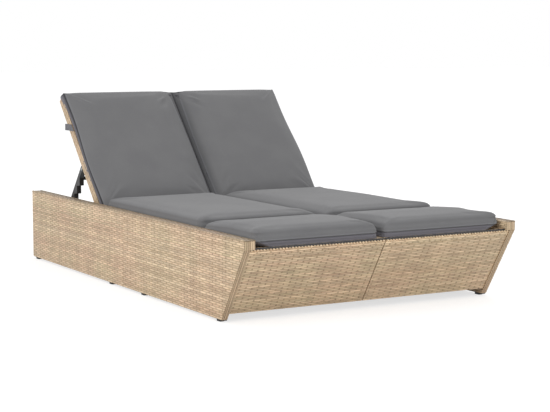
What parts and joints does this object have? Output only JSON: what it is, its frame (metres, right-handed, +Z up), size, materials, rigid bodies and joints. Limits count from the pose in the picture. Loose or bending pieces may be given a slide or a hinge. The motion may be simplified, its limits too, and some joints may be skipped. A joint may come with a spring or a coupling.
{
  "type": "double chaise lounger",
  "caption": "Woven garden lounger for two, with grey cushions and backrests side by side that tilt on stepped arms.",
  "frame": {"origin": "middle of the footprint, on the floor", "axes": "+X across the lounger to the right seen from the foot end, +Y from the foot end to the head end, +Z up"},
  "size_m": [1.16, 2, 0.7687],
  "materials": {
    "tan_weave": "woven flat strands",
    "grey_cloth": "plain woven outdoor cloth",
    "grey_webbing": "flat webbing",
    "black_steel": "satin powder coat",
    "zinc_steel": "zinc plated",
    "black_plastic": "moulded"
  },
  "bodies": {
    "base": {"left_front_side_frame": "black_steel", "left_rear_side_frame": "black_steel", "left_front_side_wicker": "tan_weave", "left_rear_side_wicker": "tan_weave", "left_foot_frame": "black_steel", "left_foot_wicker": "tan_weave", "left_head_frame": "black_steel", "left_head_wicker": "tan_weave", "left_deck_frame": "black_steel", "left_deck_wicker": "tan_weave", "left_deck_ledge": "black_steel", "left_seat_cushion": "grey_cloth", "left_foot_cushion": "grey_cloth", "right_front_side_frame": "black_steel", "right_rear_side_frame": "black_steel", "right_front_side_wicker": "tan_weave", "right_rear_side_wicker": "tan_weave", "right_foot_frame": "black_steel", "right_foot_wicker": "tan_weave", "right_head_frame": "black_steel", "right_head_wicker": "tan_weave", "right_deck_frame": "black_steel", "right_deck_wicker": "tan_weave", "right_deck_ledge": "black_steel", "right_seat_cushion": "grey_cloth", "right_foot_cushion": "grey_cloth", "centre_beam": "black_steel", "centre_legs": "black_steel", "pivot_beam": "black_steel", "hinge_plates": "black_steel", "catch_bar": "black_steel", "corner_brackets": "black_steel", "seam_plates": "black_steel", "foot_glides": "black_plastic", "post_caps": "black_plastic", "panel_bolts": "zinc_steel"},
    "left_backrest": {"left_back_frame": "black_steel", "left_back_wicker": "tan_weave", "left_back_cushion": "grey_cloth", "left_back_strap": "grey_webbing", "left_hinge_pins": "zinc_steel", "left_arm_lugs": "black_steel", "left_arm_pins": "zinc_steel"},
    "right_backrest": {"right_back_frame": "black_steel", "right_back_wicker": "tan_weave", "right_back_cushion": "grey_cloth", "right_back_strap": "grey_webbing", "right_hinge_pins": "zinc_steel", "right_arm_lugs": "black_steel", "right_arm_pins": "zinc_steel"},
    "left_arm": {"left_arm_outer_leg": "black_steel", "left_arm_inner_leg": "black_steel", "left_arm_braces": "black_steel"},
    "right_arm": {"right_arm_outer_leg": "black_steel", "right_arm_inner_leg": "black_steel", "right_arm_braces": "black_steel"}
  },
  "joints": [
    {"name": "left_backrest_hinge", "type": "hinge", "parent": "base", "child": "left_backrest", "pos_m": [-0.2665, 0.347, 0.25], "axis": [1, 0, 0], "range_deg": [-48, 0]},
    {"name": "right_backrest_hinge", "type": "hinge", "parent": "base", "child": "right_backrest", "pos_m": [0.2665, 0.347, 0.25], "axis": [1, 0, 0], "range_deg": [-48, 0]},
    {"name": "left_arm_pivot", "type": "hinge", "parent": "left_backrest", "child": "left_arm", "pos_m": [-0.2665, 0.55261, 0.4368], "axis": [1, 0, 0], "range_deg": [0, 98]},
    {"name": "right_arm_pivot", "type": "hinge", "parent": "right_backrest", "child": "right_arm", "pos_m": [0.2665, 0.55261, 0.4368], "axis": [1, 0, 0], "range_deg": [0, 98]}
  ],
  "couplings": [
    {"joint": "left_arm_pivot", "follows": "left_backrest_hinge", "ratio": -2.04},
    {"joint": "right_arm_pivot", "follows": "right_backrest_hinge", "ratio": -2.04}
  ]
}
